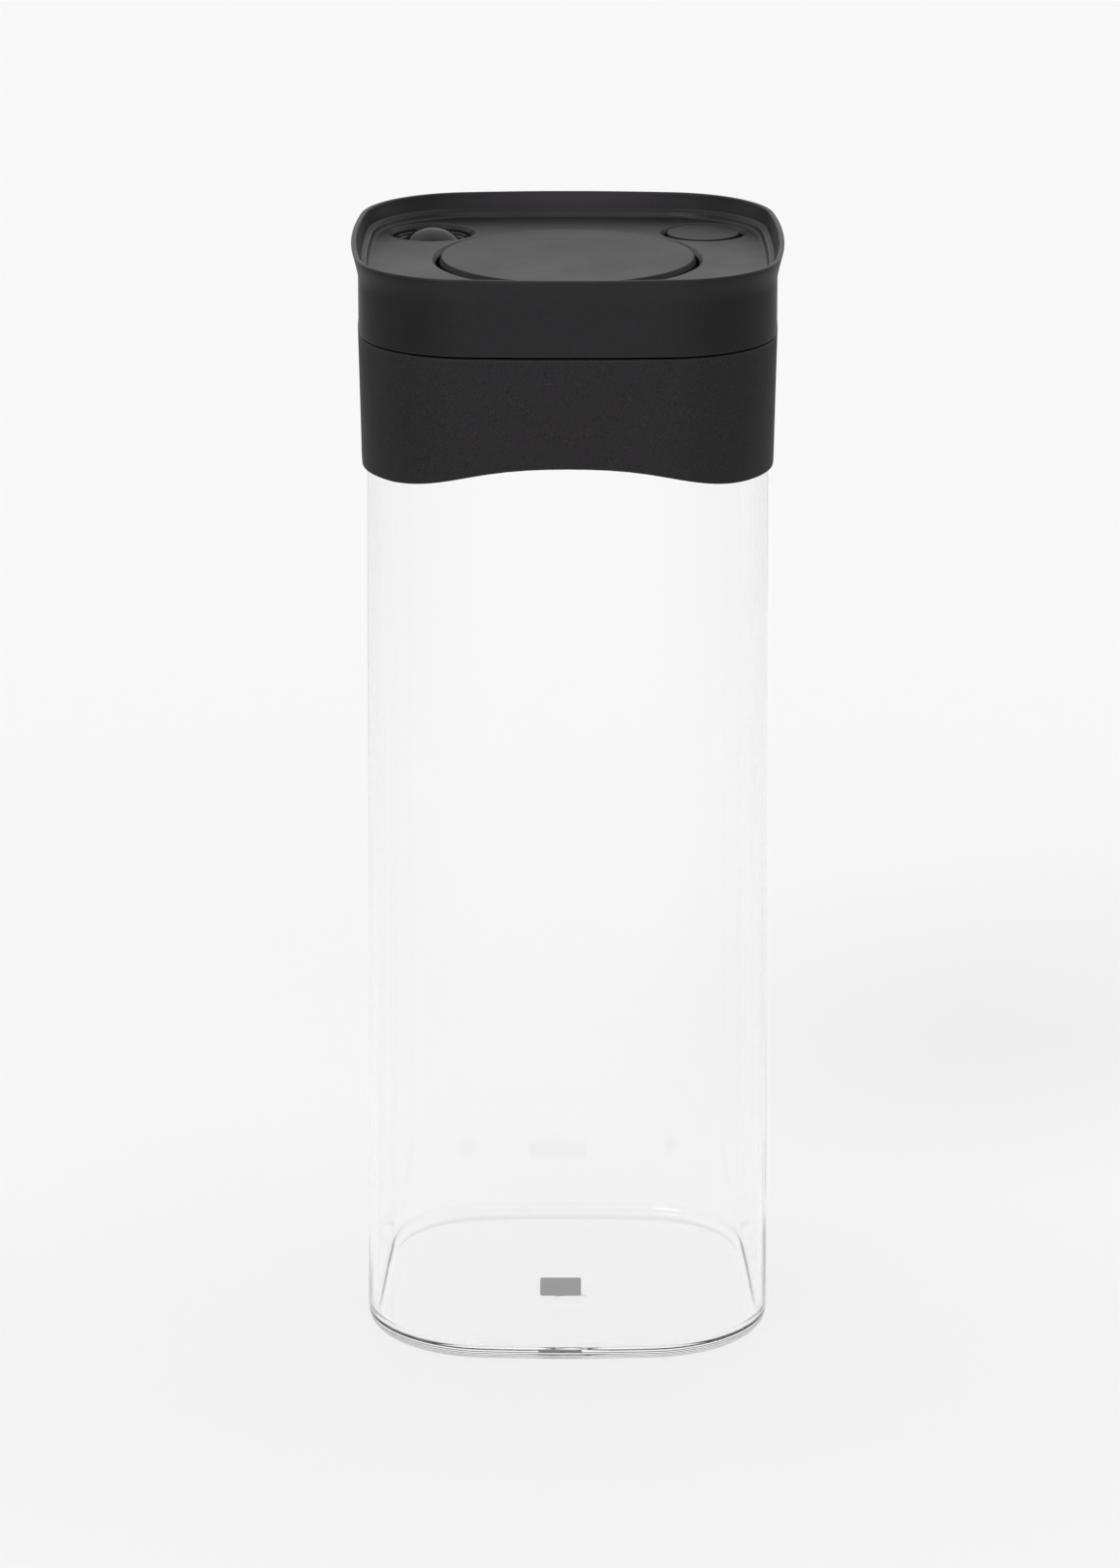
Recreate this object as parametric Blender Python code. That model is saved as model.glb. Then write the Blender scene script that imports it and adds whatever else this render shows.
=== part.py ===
"""Square glass storage canister with a hand vacuum pump in its lid.

Metres, +Z up, the front on -Y, and the origin under the middle of the jar's floor.
Lengths are written in millimetres and turned into metres where a mesh is made.
The jar's outline at any height is a square with slightly bowed sides and round corners:
a section gives its half width, the radius of its bowed sides and the radius of its corners.
"""

import math

import bmesh
import bpy

MM = 0.001
GAP = 0.3  # between neighbouring pieces

# How finely the outlines and the turned pieces are cut
SIDE_STEPS = 4
CORNER_STEPS = 8
COLLAR_SIDE_STEPS = 6
INNER_CORNER_STEPS = 5
INNER_SIDE_STEPS = 2

# Outlines: half width, radius of the bowed sides, radius of the corners
JAR_FOOT = (53.1, 320.4, 31.9)
JAR_TOP = (51.4, 430.2, 30.2)
COLLAR_OUTLINE = (53.4, 433.0, 28.8)
LID_OUTLINE = (53.25, 433.0, 28.65)
RIM_OUTLINE = (55.3, 211.0, 29.3)
PLUG_OUTLINE = (44.8, 423.6, 23.6)

# Heights
HEIGHT = 287.2
DECK_TOP = 281.1
DECK_THICK = 2.0
LID_SEAM = 267.3
COLLAR_TOP = LID_SEAM - GAP
GLASS_TOP = 262.0
SHOULDER = 240.8
COLLAR_LOW = 233.4
COLLAR_ARCH = 5.4
LEDGE_TOP = 282.8
FLARE_FOOT = 280.4
PLUG_LOW = 245.0
FLOOR_TOP = 247.0

# Walls
GLASS_WALL = 2.4
GLASS_FLOOR = 3.2
FOOT_ROUND = 4.0
INNER_ROUND = 2.8
NECK_STEP = 2.4
BEAD = 1.2
BEAD_HEIGHTS = (249.6, 250.8, 252.6, 254.0)
GASKET_SPACE = 2.4
SKIRT = 1.8
PLUG_WALL = 1.8
SEAL_GROOVE = (251.2, 256.0)
SEAL_GROOVE_DEPTH = 1.2

# The pump, on the lid's middle axis
BUTTON_R = 32.65
BUTTON_TOP = 281.8
BUTTON_LOW = 269.0
PUMP_TUBE = (33.5, 34.9)
PUMP_TUBE_LOW = 270.8
CHAMFER = 1.1
CYLINDER = (22.0, 23.8)
CYLINDER_TOP = 265.5
PISTON_R = 20.8
PISTON_LOW = 259.0
PISTON_TOP = 262.0
PISTON_BORE_R = 1.3
PISTON_BORE_TOP = 272.0
PISTON_GROOVE = 1.6
PISTON_LAND = 0.8
BOSS_R = 5.0

# The release button and the indicator, in the back corners
SMALL_X = 35.2
SMALL_Y = 31.6
SMALL_TUBE = (10.2, 11.3)
SMALL_TUBE_LOW = 272.5
RELEASE_R = 9.4
RELEASE_LOW = 274.8
RELEASE_CEILING = 278.6
DOME_R = 10.0
DOME_CENTRE = 272.3
DOME_LOW = 278.1
DOME_WALL = 1.2
GUIDE = (2.4, 4.0)
GUIDE_TOP = 262.0
STEM_R = 2.0
STEM_FLANGE_R = 5.0
STEM_FLANGE = (275.4, 276.6)
SPRING_R = 3.1

# The screws: two in front and two behind
SCREWS = ((31.0, -31.0), (-31.0, -31.0), (14.0, 38.2), (-14.0, 38.2))
PILLAR = (3.5, 4.6)
SEAT_LOW = 259.0
SEAT_TOP = 261.0
SCREW_R = 1.4
SCREW_TIP = 270.4
COVER_BOSS_R = 3.2


# ---------------------------------------------------------------- outlines and meshes


def outset(section, distance):
    """The section's parallel outline, moved out by distance."""
    half, side, corner = section
    return (half + distance, side + distance, corner + distance)


def blend(low, high, share):
    """The section that lies this share of the way from low to high."""
    return tuple(a + (b - a) * share for a, b in zip(low, high))


def outline(section, side_steps=SIDE_STEPS, corner_steps=CORNER_STEPS):
    """The points of a section, counter-clockwise, starting at the foot of the +X side."""
    half, side, corner = section
    side_centre = half - side
    reach = side - corner
    root = math.sqrt(4 * side_centre**2 - 8 * (side_centre**2 - reach**2))
    corner_centre = (2 * side_centre + root) / 4
    turn = math.atan2(corner_centre, corner_centre - side_centre)
    points = []
    for quarter in range(4):
        facing = quarter * math.pi / 2
        arcs = (
            (side_centre, 0.0, side, -turn, turn, side_steps),
            (corner_centre, corner_centre, corner, turn, math.pi / 2 - turn, corner_steps),
        )
        for centre_x, centre_y, radius, start, end, steps in arcs:
            for step in range(steps):
                angle = start + (end - start) * step / steps
                x = centre_x + radius * math.cos(angle)
                y = centre_y + radius * math.sin(angle)
                turned_x = x * math.cos(facing) - y * math.sin(facing)
                turned_y = x * math.sin(facing) + y * math.cos(facing)
                points.append((turned_x, turned_y))
    return points


def level(section, z, side_steps=SIDE_STEPS, corner_steps=CORNER_STEPS):
    """A section's outline at one height."""
    return [(x, y, z) for x, y in outline(section, side_steps, corner_steps)]


def inner_level(section, z):
    """A section's outline at one height, cut more coarsely, for pieces inside the lid."""
    return level(section, z, INNER_SIDE_STEPS, INNER_CORNER_STEPS)


def ring(radius, z, sides, x=0.0, y=0.0):
    """A round loop of points at one height."""
    loop = []
    for step in range(sides):
        angle = 2 * math.pi * (step + 0.5) / sides
        loop.append((x + radius * math.cos(angle), y + radius * math.sin(angle), z))
    return loop


def mesh_object(name, built, material, x=0.0, y=0.0):
    """An object from a bmesh in world millimetres, with its origin on the axis at x, y."""
    bmesh.ops.recalc_face_normals(built, faces=built.faces)
    for vert in built.verts:
        vert.co.x = (vert.co.x - x) * MM
        vert.co.y = (vert.co.y - y) * MM
        vert.co.z *= MM
    mesh = bpy.data.meshes.new(name)
    built.to_mesh(mesh)
    built.free()
    mesh.materials.append(material)
    mesh.shade_smooth()
    mesh.set_sharp_from_angle(angle=math.radians(35))
    made = bpy.data.objects.new(name, mesh)
    made.location = (x * MM, y * MM, 0.0)
    bpy.context.collection.objects.link(made)
    return made


def loft(loops, closed):
    """A bmesh through loops of equal length. Closed joins the last loop to the first."""
    built = bmesh.new()
    rows = [[built.verts.new(point) for point in loop] for loop in loops]
    pairs = list(zip(rows, rows[1:]))
    if closed:
        pairs.append((rows[-1], rows[0]))
    for low, high in pairs:
        count = len(low)
        for here in range(count):
            after = (here + 1) % count
            built.faces.new((low[here], low[after], high[after], high[here]))
    if not closed:
        built.faces.new(rows[0])
        built.faces.new(rows[-1])
    return built


def turned(profile, sides, closed, x=0.0, y=0.0):
    """A bmesh turned about a vertical axis from (radius, height) points."""
    return loft([ring(radius, z, sides, x, y) for radius, z in profile], closed)


def look(name, colour, roughness, metallic=0.0, transmission=0.0):
    """A material of its own for one sub-part."""
    made = bpy.data.materials.new(name)
    made.use_nodes = True
    shader = made.node_tree.nodes["Principled BSDF"]
    shader.inputs["Base Color"].default_value = (*colour, 1.0)
    shader.inputs["Roughness"].default_value = roughness
    shader.inputs["Metallic"].default_value = metallic
    shader.inputs["Transmission Weight"].default_value = transmission
    return made


def black_plastic(name, shade=0.022, roughness=0.42):
    return look(name, (shade, shade, shade * 1.03), roughness)


def white_plastic(name):
    return look(name, (0.6, 0.6, 0.58), 0.4)


def silicone(name, shade=0.05):
    return look(name, (shade, shade, shade), 0.62)


def steel(name):
    return look(name, (0.55, 0.55, 0.56), 0.28, metallic=1.0)


def combine(target, tools, operation):
    """Joins the tools to the target, or cuts them from it, and removes them."""
    for tool in tools:
        modifier = target.modifiers.new(operation.lower(), "BOOLEAN")
        modifier.operation = operation
        modifier.solver = "EXACT"
        modifier.object = tool
        evaluated = target.evaluated_get(bpy.context.evaluated_depsgraph_get())
        result = bpy.data.meshes.new_from_object(evaluated)
        target.modifiers.clear()
        target.data = result
        bpy.data.objects.remove(tool)
    target.data.shade_smooth()
    target.data.set_sharp_from_angle(angle=math.radians(35))
    return target


def tool_cylinder(radius, low, high, sides, x=0.0, y=0.0):
    """A plain cylinder that is joined to a piece or cut from it."""
    built = turned([(radius, low), (radius, high)], sides, False, x, y)
    return mesh_object("tool", built, bpy.data.materials[0])


def hole_tool(radius, low, high, chamfer, sides, x=0.0, y=0.0):
    """A cutter for a round hole with a 45 degree chamfer at its upper edge."""
    over = 1.0
    profile = [(radius, low - over), (radius, high - chamfer), (radius + chamfer + over, high + over)]
    return mesh_object("tool", turned(profile, sides, False, x, y), bpy.data.materials[0])


def tube_tool(radii, low, high, sides, x=0.0, y=0.0):
    """A plain tube that is joined to a piece."""
    inner, outer = radii
    profile = [(outer, low), (outer, high), (inner, high), (inner, low)]
    return mesh_object("tool", turned(profile, sides, True, x, y), bpy.data.materials[0])


# ---------------------------------------------------------------- the jar


def glass_body():
    """The square jar: the floor, drawn walls, a stepped neck with a bead, and the mouth."""
    loops = []
    for step in range(5):
        angle = math.pi / 2 * step / 4
        inward = FOOT_ROUND * (1 - math.sin(angle))
        loops.append(level(outset(JAR_FOOT, -inward), FOOT_ROUND * (1 - math.cos(angle))))
    neck = outset(JAR_TOP, -NECK_STEP)
    bead = outset(neck, BEAD)
    loops += [
        level(JAR_TOP, SHOULDER),
        level(outset(JAR_TOP, -0.3), SHOULDER + 0.8),
        level(neck, SHOULDER + 2.4),
        level(neck, BEAD_HEIGHTS[0]),
        level(bead, BEAD_HEIGHTS[1]),
        level(bead, BEAD_HEIGHTS[2]),
        level(neck, BEAD_HEIGHTS[3]),
        level(neck, GLASS_TOP - 0.8),
        level(outset(neck, -0.8), GLASS_TOP),
        level(outset(neck, -GLASS_WALL + 0.6), GLASS_TOP),
        level(outset(neck, -GLASS_WALL), GLASS_TOP - 0.6),
        level(outset(neck, -GLASS_WALL), SHOULDER + 1.4),
        level(outset(JAR_TOP, -GLASS_WALL), SHOULDER - 2.6),
    ]
    for step in range(5):
        angle = math.pi / 2 * step / 4
        inward = GLASS_WALL + INNER_ROUND * (1 - math.cos(angle))
        height = GLASS_FLOOR + INNER_ROUND * (1 - math.sin(angle))
        loops.append(level(outset(JAR_FOOT, -inward), height))
    clear = look("clear_glass", (0.95, 0.96, 0.96), 0.02, transmission=1.0)
    return mesh_object("glass_body", loft(loops, False), clear)


def collar_edge(x, y):
    """How far the collar's lower edge is above its lowest point: an arch on front and back."""
    on_front_or_back = abs(y) > abs(x)
    foot = 45.5
    if not on_front_or_back or abs(x) > foot:
        return 0.0
    across = math.cos(math.pi * x / (2 * foot))
    return COLLAR_ARCH * across * across * (1.6 - 0.6 * across * across)


def arched(section, height):
    """A loop of the collar that follows its lower edge."""
    return [(x, y, height + collar_edge(x, y)) for x, y in outline(section, COLLAR_SIDE_STEPS)]


def collar_level(section, z):
    """A level loop of the collar."""
    return level(section, z, COLLAR_SIDE_STEPS)


def collar_ring():
    """The textured ring that snaps over the neck's bead and covers the glass rim."""
    low_outer = outset(COLLAR_OUTLINE, -0.7)
    snug = outset(JAR_TOP, GAP)
    neck = outset(JAR_TOP, -NECK_STEP + GAP)
    groove = outset(neck, BEAD + 0.3)
    lip = outset(JAR_TOP, -NECK_STEP - GLASS_WALL)
    loops = [
        arched(outset(low_outer, -0.5), COLLAR_LOW),
        arched(outset(low_outer, -0.15), COLLAR_LOW + 0.25),
        arched(low_outer, COLLAR_LOW + 0.9),
        collar_level(blend(low_outer, COLLAR_OUTLINE, 0.35), 246.0),
        collar_level(COLLAR_OUTLINE, COLLAR_TOP - 0.9),
        collar_level(outset(COLLAR_OUTLINE, -0.2), COLLAR_TOP - 0.25),
        collar_level(outset(COLLAR_OUTLINE, -0.7), COLLAR_TOP),
        collar_level(lip, COLLAR_TOP),
        collar_level(lip, GLASS_TOP + GASKET_SPACE),
        collar_level(neck, GLASS_TOP + GASKET_SPACE),
        collar_level(neck, BEAD_HEIGHTS[3] + 1.4),
        collar_level(groove, BEAD_HEIGHTS[2] + 1.6),
        collar_level(groove, BEAD_HEIGHTS[1] - 2.2),
        collar_level(neck, BEAD_HEIGHTS[0] - 2.2),
        collar_level(neck, SHOULDER + 2.9),
        collar_level(snug, SHOULDER + 0.9),
        arched(snug, COLLAR_LOW),
    ]
    return mesh_object("collar_ring", loft(loops, True), black_plastic("collar_black", 0.02, 0.6))


def collar_gasket():
    """The flat ring between the glass rim and the collar's flange."""
    outer = outset(JAR_TOP, -NECK_STEP - 0.1)
    inner = outset(JAR_TOP, -NECK_STEP - GLASS_WALL + 0.2)
    low = GLASS_TOP + GAP
    high = GLASS_TOP + GASKET_SPACE - GAP
    loops = [
        inner_level(outer, low),
        inner_level(outer, high),
        inner_level(inner, high),
        inner_level(inner, low),
    ]
    return mesh_object("collar_gasket", loft(loops, True), silicone("gasket_grey", 0.35))


# ---------------------------------------------------------------- the lid's shells


def lid_cover():
    """The upper shell: skirt, flared rim, tray and deck, with its tubes, bosses and holes."""
    flare = blend(LID_OUTLINE, RIM_OUTLINE, 0.4)
    tray = outset(RIM_OUTLINE, -1.5)
    ledge = outset(LID_OUTLINE, -1.1)
    deck_edge = outset(LID_OUTLINE, -2.6)
    inside = outset(LID_OUTLINE, -SKIRT)
    solid = [
        level(outset(LID_OUTLINE, -0.4), LID_SEAM),
        level(LID_OUTLINE, LID_SEAM + 0.4),
        level(LID_OUTLINE, FLARE_FOOT),
        level(flare, 284.4),
        level(outset(RIM_OUTLINE, -0.1), HEIGHT - 0.5),
        level(outset(RIM_OUTLINE, -0.4), HEIGHT),
        level(outset(RIM_OUTLINE, -1.1), HEIGHT),
        level(tray, HEIGHT - 0.4),
        level(blend(ledge, tray, 0.35), LEDGE_TOP + 1.2),
        level(ledge, LEDGE_TOP),
        level(outset(ledge, -0.6), LEDGE_TOP - 0.4),
        level(outset(deck_edge, 0.3), DECK_TOP + 0.4),
        level(outset(deck_edge, -0.5), DECK_TOP),
    ]
    hollow = [
        level(outset(inside, -1.0), DECK_TOP - DECK_THICK),
        level(inside, DECK_TOP - DECK_THICK - 1.0),
        level(inside, LID_SEAM - 1.0),
    ]
    cover = mesh_object("lid_cover", loft(solid, False), black_plastic("lid_black"))
    tool = mesh_object("tool", loft(hollow, False), bpy.data.materials[0])
    combine(cover, [tool], "DIFFERENCE")
    inside_deck = DECK_TOP - DECK_THICK / 2
    joined = [tube_tool((PUMP_TUBE[0] - 0.5, PUMP_TUBE[1]), PUMP_TUBE_LOW, inside_deck, 48)]
    for x in (SMALL_X, -SMALL_X):
        radii = (SMALL_TUBE[0] - 0.5, SMALL_TUBE[1])
        joined.append(tube_tool(radii, SMALL_TUBE_LOW, inside_deck, 24, x, SMALL_Y))
    for x, y in SCREWS:
        joined.append(tool_cylinder(COVER_BOSS_R, SEAT_TOP + GAP, inside_deck, 10, x, y))
    combine(cover, joined, "UNION")
    cut = [hole_tool(PUMP_TUBE[0], PUMP_TUBE_LOW, DECK_TOP, CHAMFER, 48)]
    for x in (SMALL_X, -SMALL_X):
        cut.append(hole_tool(SMALL_TUBE[0], SMALL_TUBE_LOW, DECK_TOP, CHAMFER, 24, x, SMALL_Y))
    for x, y in SCREWS:
        cut.append(tool_cylinder(SCREW_R + GAP, SEAT_TOP - 1.0, SCREW_TIP + 0.6, 12, x, y))
    return combine(cover, cut, "DIFFERENCE")


def lid_base():
    """The lower shell: a flange, the plug, the pump cylinder, stem guides and screw pillars."""
    inner = outset(PLUG_OUTLINE, -PLUG_WALL)
    groove = outset(PLUG_OUTLINE, -SEAL_GROOVE_DEPTH)
    flange = outset(LID_OUTLINE, -SKIRT - GAP)
    loops = [
        inner_level(outset(PLUG_OUTLINE, -1.0), PLUG_LOW),
        inner_level(PLUG_OUTLINE, PLUG_LOW + 1.0),
        inner_level(PLUG_OUTLINE, SEAL_GROOVE[0] - 0.2),
        inner_level(groove, SEAL_GROOVE[0]),
        inner_level(groove, SEAL_GROOVE[1]),
        inner_level(PLUG_OUTLINE, SEAL_GROOVE[1] + 0.2),
        inner_level(PLUG_OUTLINE, LID_SEAM),
        inner_level(flange, LID_SEAM),
        inner_level(flange, LID_SEAM + 2.0),
        inner_level(inner, LID_SEAM + 2.0),
        inner_level(outset(inner, -0.8), FLOOR_TOP + 2.0),
        inner_level(outset(inner, -1.8), FLOOR_TOP),
    ]
    base = mesh_object("lid_base", loft(loops, False), black_plastic("base_black", 0.03, 0.5))
    in_floor = FLOOR_TOP - 1.0
    joined = [tube_tool(CYLINDER, in_floor, CYLINDER_TOP, 32)]
    for x in (SMALL_X, -SMALL_X):
        joined.append(tool_cylinder(GUIDE[1], in_floor, GUIDE_TOP, 14, x, SMALL_Y))
    for x, y in SCREWS:
        joined.append(tool_cylinder(PILLAR[1], in_floor, SEAT_TOP, 12, x, y))
    combine(base, joined, "UNION")
    over = 1.0
    cut = []
    for x in (SMALL_X, -SMALL_X):
        cut.append(tool_cylinder(GUIDE[0], PLUG_LOW - over, GUIDE_TOP + over, 14, x, SMALL_Y))
        cut.append(tool_cylinder(GUIDE[1], GUIDE_TOP, LID_SEAM + 3.0, 14, x, SMALL_Y))
    for x, y in SCREWS:
        cut.append(tool_cylinder(PILLAR[0], PLUG_LOW - over, SEAT_LOW, 12, x, y))
        cut.append(tool_cylinder(SCREW_R + GAP, SEAT_LOW - over, SEAT_TOP + over, 10, x, y))
    cut.append(tool_cylinder(1.6, PLUG_LOW - over, FLOOR_TOP + over, 10))
    for step in range(6):
        angle = math.pi / 3 * step
        x = 4.6 * math.cos(angle)
        y = 4.6 * math.sin(angle)
        cut.append(tool_cylinder(1.1, PLUG_LOW - over, FLOOR_TOP + over, 6, x, y))
    return combine(base, cut, "DIFFERENCE")


def lid_seal():
    """The soft ring round the plug, with two lips that meet the inside of the glass."""
    bore = outset(PLUG_OUTLINE, -SEAL_GROOVE_DEPTH + GAP)
    body = outset(PLUG_OUTLINE, 0.5)
    lips = outset(PLUG_OUTLINE, 1.4)
    low = SEAL_GROOVE[0] + 0.4
    high = SEAL_GROOVE[1] - 0.4
    loops = [
        inner_level(bore, low),
        inner_level(body, low),
        inner_level(lips, low + 0.6),
        inner_level(body, low + 1.4),
        inner_level(body, high - 1.4),
        inner_level(lips, high - 0.6),
        inner_level(body, high),
        inner_level(bore, high),
    ]
    return mesh_object("lid_seal", loft(loops, True), silicone("seal_grey", 0.3))


def lid_screws():
    """Four pan-head screws, each up through a pillar's seat into a boss of the cover."""
    for number, (x, y) in enumerate(SCREWS, 1):
        name = f"lid_screw_{number}"
        head_top = SEAT_LOW - GAP
        profile = [
            (2.0, head_top - 2.0),
            (2.7, head_top - 1.4),
            (2.7, head_top),
            (SCREW_R, head_top),
            (SCREW_R, SCREW_TIP - 1.0),
            (0.5, SCREW_TIP),
        ]
        mesh_object(name, turned(profile, 12, False, x, y), steel(f"{name}_steel"))


# ---------------------------------------------------------------- the pump


def pump_button():
    """The large disc: a shallow cup with a catch flange below and a boss for the piston."""
    profile = [
        (BOSS_R, PISTON_TOP + 2.3),
        (BOSS_R, BUTTON_TOP - 2.6),
        (BUTTON_R - 1.9, BUTTON_TOP - 2.6),
        (BUTTON_R - 1.6, BUTTON_LOW),
        (PUMP_TUBE[1] - GAP, BUTTON_LOW),
        (PUMP_TUBE[1] - GAP, PUMP_TUBE_LOW - GAP),
        (BUTTON_R, PUMP_TUBE_LOW - GAP),
        (BUTTON_R, BUTTON_TOP - 0.6),
        (BUTTON_R - 0.2, BUTTON_TOP - 0.2),
        (BUTTON_R - 0.7, BUTTON_TOP),
    ]
    button = mesh_object("pump_button", turned(profile, 48, False), black_plastic("button_black", 0.06, 0.5))
    bore = tool_cylinder(PISTON_BORE_R, PISTON_LOW, PISTON_BORE_TOP, 10)
    return combine(button, [bore], "DIFFERENCE")


def pump_piston():
    """The piston under the button, with a groove for its ring and holes for the air."""
    profile = [
        (PISTON_BORE_R, PISTON_TOP + 2.0),
        (4.2, PISTON_TOP + 2.0),
        (4.2, PISTON_TOP),
        (PISTON_R, PISTON_TOP),
        (PISTON_R, PISTON_TOP - PISTON_LAND),
        (PISTON_R - PISTON_GROOVE, PISTON_TOP - PISTON_LAND),
        (PISTON_R - PISTON_GROOVE, PISTON_LOW + PISTON_LAND),
        (PISTON_R, PISTON_LOW + PISTON_LAND),
        (PISTON_R, PISTON_LOW),
        (PISTON_BORE_R, PISTON_LOW),
    ]
    piston = mesh_object("pump_piston", turned(profile, 24, True), white_plastic("piston_white"))
    cut = []
    for step in range(4):
        angle = math.pi / 2 * (step + 0.5)
        x = 8.0 * math.cos(angle)
        y = 8.0 * math.sin(angle)
        cut.append(tool_cylinder(1.0, PISTON_LOW - 1.0, PISTON_TOP + 1.0, 6, x, y))
    return combine(piston, cut, "DIFFERENCE")


def piston_seal():
    """The soft ring in the piston's groove."""
    inner = PISTON_R - PISTON_GROOVE + GAP
    outer = CYLINDER[0] - GAP
    low = PISTON_LOW + PISTON_LAND + GAP
    high = PISTON_TOP - PISTON_LAND - GAP
    middle = (low + high) / 2
    profile = [(inner, low), (outer - 0.4, low), (outer, middle), (outer - 0.4, high), (inner, high)]
    mesh_object("piston_seal", turned(profile, 24, True), silicone("piston_seal_grey", 0.25))


def piston_screw():
    """The screw that holds the piston to the button's boss."""
    profile = [
        (3.0, PISTON_LOW - 2.2),
        (3.8, PISTON_LOW - 1.6),
        (3.8, PISTON_LOW - GAP),
        (1.0, PISTON_LOW - GAP),
        (1.0, PISTON_BORE_TOP - 1.6),
    ]
    mesh_object("piston_screw", turned(profile, 12, False), steel("piston_screw_steel"))


def exhaust_valve():
    """The soft washer on top of the piston: it lifts off the holes on the way down."""
    low = PISTON_TOP + GAP
    profile = [(4.6, low), (9.8, low), (9.6, low + 0.7), (5.4, low + 1.0), (4.6, low + 1.0)]
    mesh_object("exhaust_valve", turned(profile, 20, True), silicone("exhaust_grey", 0.12))


def inlet_valve():
    """The umbrella valve on the cylinder's floor, its stem down through the middle hole."""
    low = FLOOR_TOP + GAP
    profile = [
        (0.7, PLUG_LOW - 0.6),
        (1.2, PLUG_LOW),
        (1.2, low),
        (7.0, low),
        (6.8, low + 0.6),
        (1.6, low + 1.2),
    ]
    mesh_object("inlet_valve", turned(profile, 16, False), silicone("inlet_grey", 0.12))


def inlet_screen():
    """The perforated disc under the inlet."""
    high = PLUG_LOW - 1.2
    profile = [(9.0, high - 1.0), (9.4, high - 0.5), (9.4, high)]
    screen = mesh_object("inlet_screen", turned(profile, 24, False), steel("screen_steel"))
    cut = []
    for step in range(8):
        angle = math.pi / 4 * step
        x = 6.0 * math.cos(angle)
        y = 6.0 * math.sin(angle)
        cut.append(tool_cylinder(0.9, high - 2.0, high + 1.0, 6, x, y))
    return combine(screen, cut, "DIFFERENCE")


# ---------------------------------------------------------------- the release button


def release_button():
    """The flat cap in the right-hand hole."""
    profile = [
        (3.2, RELEASE_CEILING),
        (RELEASE_R - 1.4, RELEASE_CEILING),
        (RELEASE_R - 1.3, RELEASE_LOW),
        (RELEASE_R, RELEASE_LOW),
        (RELEASE_R, DECK_TOP - 0.3),
        (RELEASE_R - 0.4, DECK_TOP),
    ]
    built = turned(profile, 28, False, SMALL_X, SMALL_Y)
    mesh_object("release_button", built, black_plastic("release_black", 0.05, 0.45), SMALL_X, SMALL_Y)


def release_stem():
    """The rod from the cap down through its guide, with a collar for the spring."""
    profile = [
        (1.5, PLUG_LOW - 1.8),
        (STEM_R, PLUG_LOW - 0.6),
        (STEM_R, STEM_FLANGE[0]),
        (STEM_FLANGE_R, STEM_FLANGE[0]),
        (STEM_FLANGE_R, STEM_FLANGE[1]),
        (STEM_R, STEM_FLANGE[1]),
        (STEM_R, RELEASE_CEILING - GAP),
    ]
    built = turned(profile, 12, False, SMALL_X, SMALL_Y)
    mesh_object("release_stem", built, white_plastic("release_stem_white"), SMALL_X, SMALL_Y)


def release_valve():
    """The soft plug on the stem's foot, which closes the bleed hole from below."""
    high = PLUG_LOW - GAP
    profile = [(2.3, high), (3.5, high), (3.5, high - 0.8), (2.9, high - 1.7), (2.3, high - 1.7)]
    built = turned(profile, 14, True, SMALL_X, SMALL_Y)
    mesh_object("release_valve", built, silicone("release_valve_grey", 0.2), SMALL_X, SMALL_Y)


# ---------------------------------------------------------------- the vacuum indicator


def indicator_dome():
    """The glossy soft dome: a thin cap over the stem's head."""
    first = math.asin((DOME_LOW - DOME_CENTRE) / DOME_R)
    last = math.radians(87)
    bore = DOME_R - DOME_WALL
    outer = []
    inner = []
    for step in range(5):
        reach = first + (last - first) * step / 4
        outer.append((DOME_R * math.cos(reach), DOME_CENTRE + DOME_R * math.sin(reach)))
        inner.append((bore * math.cos(reach), DOME_CENTRE + bore * math.sin(reach)))
    profile = [*reversed(inner), *outer]
    built = turned(profile, 28, False, -SMALL_X, SMALL_Y)
    mesh_object("indicator_dome", built, black_plastic("dome_black", 0.012, 0.08), -SMALL_X, SMALL_Y)


def indicator_ring():
    """The stepped ring that keeps the dome in its hole."""
    profile = [
        (8.6, 277.6),
        (8.6, 278.6),
        (9.2, 278.9),
        (9.2, 279.3),
        (9.6, 279.5),
        (9.9, 279.3),
        (9.9, 274.0),
        (9.0, 274.0),
        (9.0, 277.6),
    ]
    built = turned(profile, 28, True, -SMALL_X, SMALL_Y)
    mesh_object("indicator_ring", built, black_plastic("ring_black", 0.015, 0.12))


def indicator_stem():
    """The guide rod under the dome: its head is the flat that the spring lifts."""
    profile = [
        (1.4, PLUG_LOW + 6.0),
        (STEM_R, PLUG_LOW + 7.0),
        (STEM_R, STEM_FLANGE[0]),
        (STEM_FLANGE_R, STEM_FLANGE[0]),
        (STEM_FLANGE_R, STEM_FLANGE[1]),
        (STEM_R, 277.6),
        (1.4, 279.6),
    ]
    built = turned(profile, 12, False, -SMALL_X, SMALL_Y)
    mesh_object("indicator_stem", built, white_plastic("indicator_stem_white"), -SMALL_X, SMALL_Y)


# ---------------------------------------------------------------- the springs


def coil(name, radius, wire, turns, low, high, steps, x=0.0, y=0.0):
    """A helical spring between two heights, its wire cut as a pentagon."""
    sides = 5
    first = low + wire
    rise = high - low - 2 * wire
    count = int(turns * steps)
    loops = []
    for step in range(count + 1):
        angle = 2 * math.pi * step / steps
        z = first + rise * step / count
        loop = []
        for side in range(sides):
            around = 2 * math.pi * side / sides
            out = radius + wire * math.cos(around)
            loop.append((x + out * math.cos(angle), y + out * math.sin(angle), z + wire * math.sin(around)))
        loops.append(loop)
    return mesh_object(name, loft(loops, False), steel(f"{name}_steel"), x, y)


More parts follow.
